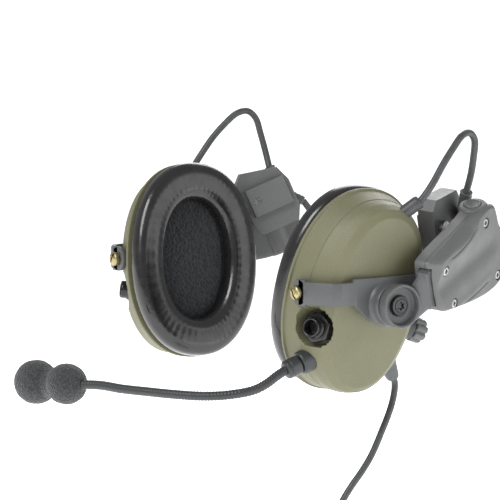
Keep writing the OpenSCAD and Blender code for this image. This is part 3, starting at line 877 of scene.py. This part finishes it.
def soft_outline(outline, rounds=3):
    """Corner cutting that keeps the outline's size."""
    points = [Vector(p) for p in outline]
    for _ in range(rounds):
        cut = []
        for a, b in zip(points, points[1:] + points[:1]):
            cut += [a.lerp(b, 0.18), a.lerp(b, 0.82)]
        points = cut
    return points


def even_outline(points, count):
    """The closed outline cut into pieces of equal length."""
    loop = points + [points[0]]
    total = sum((b - a).length for a, b in zip(loop, loop[1:]))
    result = []
    travelled = 0
    target_length = 0
    for a, b in zip(loop, loop[1:]):
        span = (b - a).length
        while target_length <= travelled + span and len(result) < count:
            result.append(a.lerp(b, (target_length - travelled) / span))
            target_length += total / count
        travelled += span
    return result


def bump_line(y, z, start, bend, end, width):
    """1 on a bent line through three points of the face, falling to 0 beside it."""
    best = 1e9
    previous = Vector(start)
    for k in range(1, 13):
        t = k / 12
        point = (1 - t) ** 2 * Vector(start) + 2 * t * (1 - t) * Vector(bend) + t * t * Vector(end)
        span = point - previous
        s = max(0, min(1, (Vector((y, z)) - previous).dot(span) / span.length_squared))
        best = min(best, (previous + s * span - Vector((y, z))).length)
        previous = point
    return math.exp(-(best / width) ** 2)


def face_height(y, z):
    """Height of the arm's outer face over its flat back."""
    valley = bump_line(y, z, (-62, -21), (-30, -22), (0, -24), 6.5)
    upper = bump_line(y, z, (-45, -11.5), (-28, -13.5), (-14, -8), 2.4)
    lower = bump_line(y, z, (-42, -40), (-25, -42.5), (-8, -42), 2.4)
    groove_up = bump_line(y, z, (-44, -9.6), (-28, -11.6), (-15, -6.2), 0.45)
    groove_low = bump_line(y, z, (-41, -42.4), (-25, -44.8), (-9, -44), 0.45)
    return ARM_OUT - 1.5 * valley + 0.25 * (upper + lower) - 0.45 * (groove_up + groove_low)


def arm_shell_part():
    """Rings from the inner face round the rim and over the modelled outer face."""
    rim = even_outline(soft_outline(ARM_OUTLINE), 300)
    centre = Vector((-22, -25))
    rings = []
    for x, inset in ((ARM_IN, 3), (ARM_IN, 0.7), (ARM_IN + 0.2, 0.2), (ARM_IN + 0.7, 0), (2.3, 0),
                     (2.45, 0.25), (2.6, 0.25), (2.75, 0)):
        ring = [p + (centre - p).normalized() * inset for p in rim]
        rings.append([Vector((x, p.x, p.y)) for p in ring])
    steps = 60
    for k in range(steps + 1):
        t = (k / steps) ** 1.3
        ring = []
        for p in rim:
            q = p.lerp(centre, t)
            depth = (q - p).length
            top_edge = max(0, min(1, (p.y + 16) / 8)) * max(0, min(1, (-8 - p.x) / 8))
            reach = 2.6 + 5.5 * top_edge
            fall = 2.4 + 2.6 * top_edge
            bend = max(0, 1 - depth / reach)
            ring.append(Vector((face_height(q.x, q.y) - fall * bend ** 2.2, q.x, q.y)))
        rings.append(ring)
    return skin(rings)


def arc_points(radius, angles):
    return [
        (radius * math.cos(math.radians(a)), radius * math.sin(math.radians(a))) for a in angles]


EAR_SLOT = arc_points(7.3, (36, 0, -43, -86)) + arc_points(26, range(204, 107, -12))


def arm_housing(side_name, side):
    obj = new_object("arm_housing_" + side_name, arm_shell_part(), ARM, side, 45)
    barrel = rounded([
        (0, -53), (BARREL_R - 0.7, -53), (BARREL_R, -52.3), (BARREL_R, -0.9),
        (BARREL_R - 0.9, 0.2), (6.4, 0.3), (0, 0.3)], 0.7)
    combine(obj, new_object("barrel", lathe(barrel, 96), ARM, side), "UNION", 45)
    cutters = [
        box_part((-1.3, -66, -32.3), (6.3, -54, -7.7)),
        box_part((-0.3, -56, -28.3), (5.3, -11.5, -17.7)),
        prism(EAR_SLOT, -30.3, -24.7),
        lathe([(0, -11), (5.25, -11), (5.25, 3), (0, 3)], 64)]
    for place in SCREW_PLACES:
        seat = rounded([(0, SCREW_SEAT), (3.1, SCREW_SEAT), (3.5, 13), (0, 13)], 0.2)
        cutters.append(moved(lathe(seat, 40), aimed((0, *place), (1, 0, 0))))
    for cutter in cutters:
        combine(obj, new_object("cutter", cutter, ARM, side), "DIFFERENCE", 45)
    finish_piece(
        obj, ARM_GREY, side_name + "_arm", ("arm_inner_" + side_name, "arm_cover_" + side_name))


def arm_screw_heads(side_name, side):
    def recess(angle, r, z):
        return star(angle, r) if r < 1.4 else r
    profile = rounded([
        (0, SCREW_SEAT + 0.4), (1.25, SCREW_SEAT + 0.4), (1.3, SCREW_SEAT + 1.5),
        (2.3, SCREW_SEAT + 1.6), (2.8, SCREW_SEAT + 1), (2.8, SCREW_SEAT), (0, SCREW_SEAT)], 0.2)
    head = lathe(profile, 48, recess)
    heads = [moved(head, aimed((0, *place), (1, 0, 0))) for place in SCREW_PLACES]
    obj = new_object("arm_screw_heads_" + side_name, merge(*heads), ARM, side, 30)
    finish_piece(obj, STEEL, side_name + "_arm", ("arm_screws_" + side_name,))


def button_cap(side_name, side):
    profile = rounded([
        (0, 0.5), (3.2, 0.55), (4.3, 0.9), (4.75, 0.8), (4.95, 0.2), (4.95, -4), (0, -4)], 0.3)
    obj = new_object("button_cap_" + side_name, lathe(profile, 72), ARM, side, 40)
    finish_piece(obj, ARM_GREY, side_name + "_button", ("release_button_" + side_name,))


# ---------- boom and controls ----------

def boom_pieces():
    socket = rounded([
        (4.1, -6), (6.8, -6), (6.8, 3.0), (6.2, 3.9), (4.1, 3.9), (4.1, -6)], 0.5, closed=True)
    obj = new_object("boom_socket_ring", lathe(socket), BOOM)
    finish_piece(obj, DARK, "left_cup", ("boom_socket",))
    collar = rounded([
        (0, -3.4), (3.9, -3.4), (3.9, 4.4), (5.3, 4.5), (5.5, 5.0), (5.5, 10.2), (5.0, 10.5),
        (5.0, 11.1), (5.4, 11.4), (5.3, 12.6), (4.4, 13.4), (0, 13.6)], 0.35)
    sleeve = new_object("boom_collar", lathe(collar), BOOM, sharp=35)
    finish_piece(sleeve, DARK, "boom", ())
    points = smooth_route([tuple(BOOM @ Vector((0, 0, 11)))] + BOOM_ROUTE[1:], 0.45)
    pitch = 1.9

    def wound(along, angle):
        return 2.62 + 0.14 * math.cos(2 * math.pi * along / pitch + angle)
    neck = new_object("boom_gooseneck", tube(points, wound, 24), sharp=180)
    finish_piece(neck, DARK, "boom", ("boom",))
    ring = [(2.6, 0), (3.4, 0.4), (3.4, 3.2), (2.7, 3.8), (2.2, 3.8)]
    ferrule = new_object(
        "boom_ferrule", lathe(ring), aimed(points[-14], points[-1] - points[-14]), sharp=35)
    finish_piece(ferrule, DARK, "boom", ())


def windscreen_foam():
    """Two foam lobes on the microphone, joined by a waist."""
    place = aimed(MIC_ENTRY, MIC_DIRECTION)

    def lobe(r, z, squeeze):
        profile = []
        for k in range(25):
            a = math.pi * k / 24
            profile.append((r * math.sin(a) ** 0.92, z + squeeze * r * -math.cos(a)))
        return lathe(profile, 64)
    waist = lathe([(0, 8), (9.2, 8), (8.6, 17), (9.4, 26), (0, 26)], 64)
    lobes = merge(lobe(11.9, 6, 1.0), lobe(12.9, 29, 0.98), waist)
    obj = new_object("windscreen_foam", lobes, place, clean=False)
    melt(obj, 0.6, 5)
    for vertex in obj.data.vertices:
        p = vertex.co / MM
        vertex.co += vertex.normal * MM * (
            0.25 * noise.noise(p * 0.25) + 0.16 * noise.noise(p * 1.3))
    finish_piece(obj, FOAM, "boom", ("windscreen",))


def control_pieces():
    def scallop(angle, r, z):
        if r < 5:
            return r
        return r - 1.4 * abs(math.cos(4 * angle)) ** 7
    profile = rounded([
        (2.6, 3.4), (6.6, 3.4), (7.4, 4.0), (7.5, 10.6), (6.9, 12), (5.4, 12.3), (4.6, 11.6),
        (0, 11.5)], 0.5)
    knob = new_object("knob_cap", lathe(profile, 128, scallop), KNOB, sharp=40)
    finish_piece(knob, ARM_GREY, "volume_knob", ("volume_knob",))
    collar = rounded([(0, -6), (7.6, -6), (7.6, 1.6), (6.6, 2.6), (0, 2.7)], 0.6)
    base = new_object("knob_base", lathe(collar), KNOB)
    finish_piece(base, DARK, "left_cup", ("rotary_switch",))
    taper = rounded([
        (0, -8), (5.6, -8), (5.6, 1.4), (5.2, 2.4), (4.1, 10.8), (3.6, 13.2), (2.05, 13.2),
        (2.05, 1.5), (0, 1.5)], 0.5)
    boot = new_object("downlead_gland", lathe(taper), BOOT)
    finish_piece(boot, RUBBER, "left_cup", ("downlead_boot",))


# ---------- cables ----------


def split_length(points, count):
    """Cuts a run of points into stretches of equal length that share their end points."""
    share = route_length(points) / count
    stretches = [[points[0]]]
    travelled = 0
    for a, b in zip(points, points[1:]):
        travelled += (b - a).length
        stretches[-1].append(b)
        if travelled >= share * len(stretches) and len(stretches) < count:
            stretches.append([b])
    return stretches


def crossover_loop(side_name, side):
    """The cable from the cup's gland over the arm, cut into three stretches of equal length."""
    points = smooth_route([tuple(SLEEVE @ Vector((0, 0, 10)))] + LOOP_ROUTE[1:], 1.0)
    hosts = ["_yoke", "_slider", "_arm"]
    stretches = split_length(points, len(hosts))
    for index, stretch in enumerate(stretches):
        name = f"crossover_loop_{side_name}_{index}"
        obj = new_object(name, tube(stretch, CROSS_D / 2, 20), ROW, side, 80)
        replaced = ("crossover_loop_" + side_name,) if index == 0 else ()
        finish_piece(obj, CABLE, None, replaced)
        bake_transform(obj)


def gland_and_boot(side_name, side):
    profile = rounded([
        (0, -3), (4.5, -3), (4.5, 0.2), (4.0, 0.8), (4.0, 12.2), (3.6, 13.6), (2.6, 14),
        (2.1, 13.4), (2.1, 9), (0, 9)], 0.35)
    sleeve = new_object("cable_gland_" + side_name, lathe(profile), SLEEVE, side)
    finish_piece(sleeve, CABLE, None, ("cable_sleeve_" + side_name,))
    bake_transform(sleeve)
    points = smooth_route(BOOT_ROUTE, 0.8)
    total = route_length(points)

    def ribbed(along, angle):
        taper = 0.75 * max(0, along / total - 0.55) / 0.45
        return 3.6 - taper + 0.18 * math.cos(2 * math.pi * along / 2.6)
    boot = new_object("cable_boot_" + side_name, tube(points, ribbed, 24), ROW, side, 60)
    replaced = ("cable_boots",) if side > 0 else ()
    finish_piece(boot, RUBBER, "headset_root", replaced)


def crossover_back():
    half = [Vector(p) for p in MIDDLE_ROUTE]
    other = [Vector((-p.x, p.y, p.z)) for p in reversed(half[:-1])]
    points = smooth_route(half + other, 2)
    obj = new_object("crossover_back", tube(points, CROSS_D / 2, 20), sharp=80)
    finish_piece(obj, CABLE, "headset_root", ("crossover_middle",))


def coil_points():
    """Turns of a tied coil: each lies a sixth of a turn further round the bundle."""
    first = math.atan2(LEAD_ROUTE[-1][2] - COIL_CENTRE.z, LEAD_ROUTE[-1][1] - COIL_CENTRE.y)
    last = math.pi + 2 * math.pi * COIL_TURNS
    steps = COIL_TURNS * COIL_STEPS
    points = []
    for k in range(steps + 1):
        angle = first + (last - first) * k / steps
        roll = math.pi + (angle - first) / 6
        ease = min(1, k / 25, (steps - k) / 25)
        r = COIL_R + ease * BUNDLE_R * math.cos(roll)
        points.append(COIL_CENTRE + Vector((
            ease * BUNDLE_R * math.sin(roll), r * math.cos(angle), r * math.sin(angle))))
    return points


def plug_pieces():
    place = Matrix.Translation(PLUG_TOP) @ turned(180, "X")

    def ridged(angle, r, z):
        if 10 < z < 30:
            return r - 0.35 * max(0, math.cos(12 * angle)) ** 3
        return r
    body = rounded([
        (0, -0.5), (3.2, -0.5), (4.5, 3), (4.6, 7.5), (6.6, 8.4), (7.4, 10), (7.4, 30), (6.6, 33.4),
        (4.4, 34), (0, 34)], 0.6)
    levels = []
    for a, b in zip(body, body[1:]):
        count = max(1, round((Vector(b) - Vector(a)).length / 1.2))
        levels += [tuple(Vector(a).lerp(Vector(b), k / count)) for k in range(count)]
    levels.append(body[-1])
    shell = new_object("plug_body", lathe(levels, 96, ridged), place, sharp=45)
    finish_piece(shell, GLOSS, "left_cup", ("plug",))
    tip = rounded([
        (0, 33), (3.55, 33), (3.55, 40.5), (3.2, 40.8), (3.2, 41.4), (3.55, 41.7), (3.55, 47),
        (3.2, 47.3), (3.2, 47.9), (3.55, 48.2), (3.55, 53.5), (3.2, 53.8), (3.2, 54.4), (3.55, 54.7),
        (3.55, 58.4), (2.5, 60.2), (2.9, 61.2), (2.2, 63), (0, 63.5)], 0.2)
    barrel = new_object("plug_contacts", lathe(tip, 64), place, sharp=35)
    finish_piece(barrel, BRASS, "left_cup", ())
    return [shell, barrel]


def coil_band():
    """Hook-and-loop tie round the bundle, on its rear side."""
    centre = COIL_CENTRE + Vector((0, COIL_R, 0))
    wall = rounded([(6.1, -5), (7.0, -5), (7.0, 5), (6.1, 5), (6.1, -5)], 0.25, closed=True)
    loop = moved(lathe(wall, 64), Matrix.Translation(centre))
    flap = moved(box_part((6.4, -1.2, -4.6), (10.5, 0.2, 4.6)), Matrix.Translation(centre))
    obj = new_object("coil_band", merge(loop, flap), sharp=35)
    bevel(obj, 0.25)
    finish_piece(obj, DARK, "left_cup", ("coil_tie",))
    return obj


def downlead_cable():
    lead = smooth_route([BOOT @ Vector((0, 0, 3))] + smooth_route(LEAD_ROUTE, 2), 2)
    points = lead[:-1] + coil_points()[:-1] + smooth_route(TAIL_ROUTE, 2)
    obj = new_object("downlead_cable", tube(points, LEAD_D / 2, 14), sharp=80)
    finish_piece(obj, CABLE, "left_cup", ("downlead", "downlead_coil"))
    [coil_band()] + plug_pieces()


# ---------- carried-over CAD nodes ----------

def paint_nodes():
    paints = {
        "rail_clip": ARM_GREY, "clip_lock_screws": STEEL, "pivot_pins": STEEL,
        "torsion_spring": STEEL, "button_spring": STEEL, "speaker_plate": DARK, "speaker": STEEL, "circuit_board": BOARD,
        "battery_pair": BATTERY, "mic_capsule": GLOSS}
    for node, obj in frame["nodes"].items():
        stem = node.replace("_left", "").replace("_right", "")
        if stem in paints:
            obj.data.materials.clear()
            obj.data.materials.append(paints[stem])
        if stem in ("rail_clip", "clip_lock_screws"):
            mod = obj.modifiers.new("soft_edges", "BEVEL")
            mod.width = 0.8 * MM
            mod.segments = 3
            mod.limit_method = "ANGLE"
            mod.angle_limit = math.radians(30)


# ---------- build ----------

def add_floor():
    bpy.ops.mesh.primitive_plane_add(size=30, location=(0, 0, FLOOR_Z))
    floor = bpy.context.object
    floor.name = "floor"
    floor.data.materials.append(floor_white())


bpy.context.scene.view_settings.view_transform = "Standard"
add_camera()
add_world()
add_light("key", (-0.9, 1.1, 1.2), 0.9, 22)
add_light("fill", (1.3, 0.1, 0.9), 1.2, 7)
add_light("rim", (0.3, 1.0, -1.2), 1.0, 12)
add_floor()
crossover_back()
downlead_cable()
for side_name, side in SIDES.items():
    crossover_loop(side_name, side)
    gland_and_boot(side_name, side)
    cup_shell(side_name, side)
    seal_cushion(side_name, side)
    liner_pad(side_name, side)
    ambient_parts(side_name, side)
    yoke_band(side_name, side)
    swivel_screw(side_name, side)
    pivot_screw_heads(side_name, side)
    slider_stem(side_name, side)
    arm_housing(side_name, side)
    arm_screw_heads(side_name, side)
    button_cap(side_name, side)
boom_pieces()
windscreen_foam()
control_pieces()
paint_nodes()
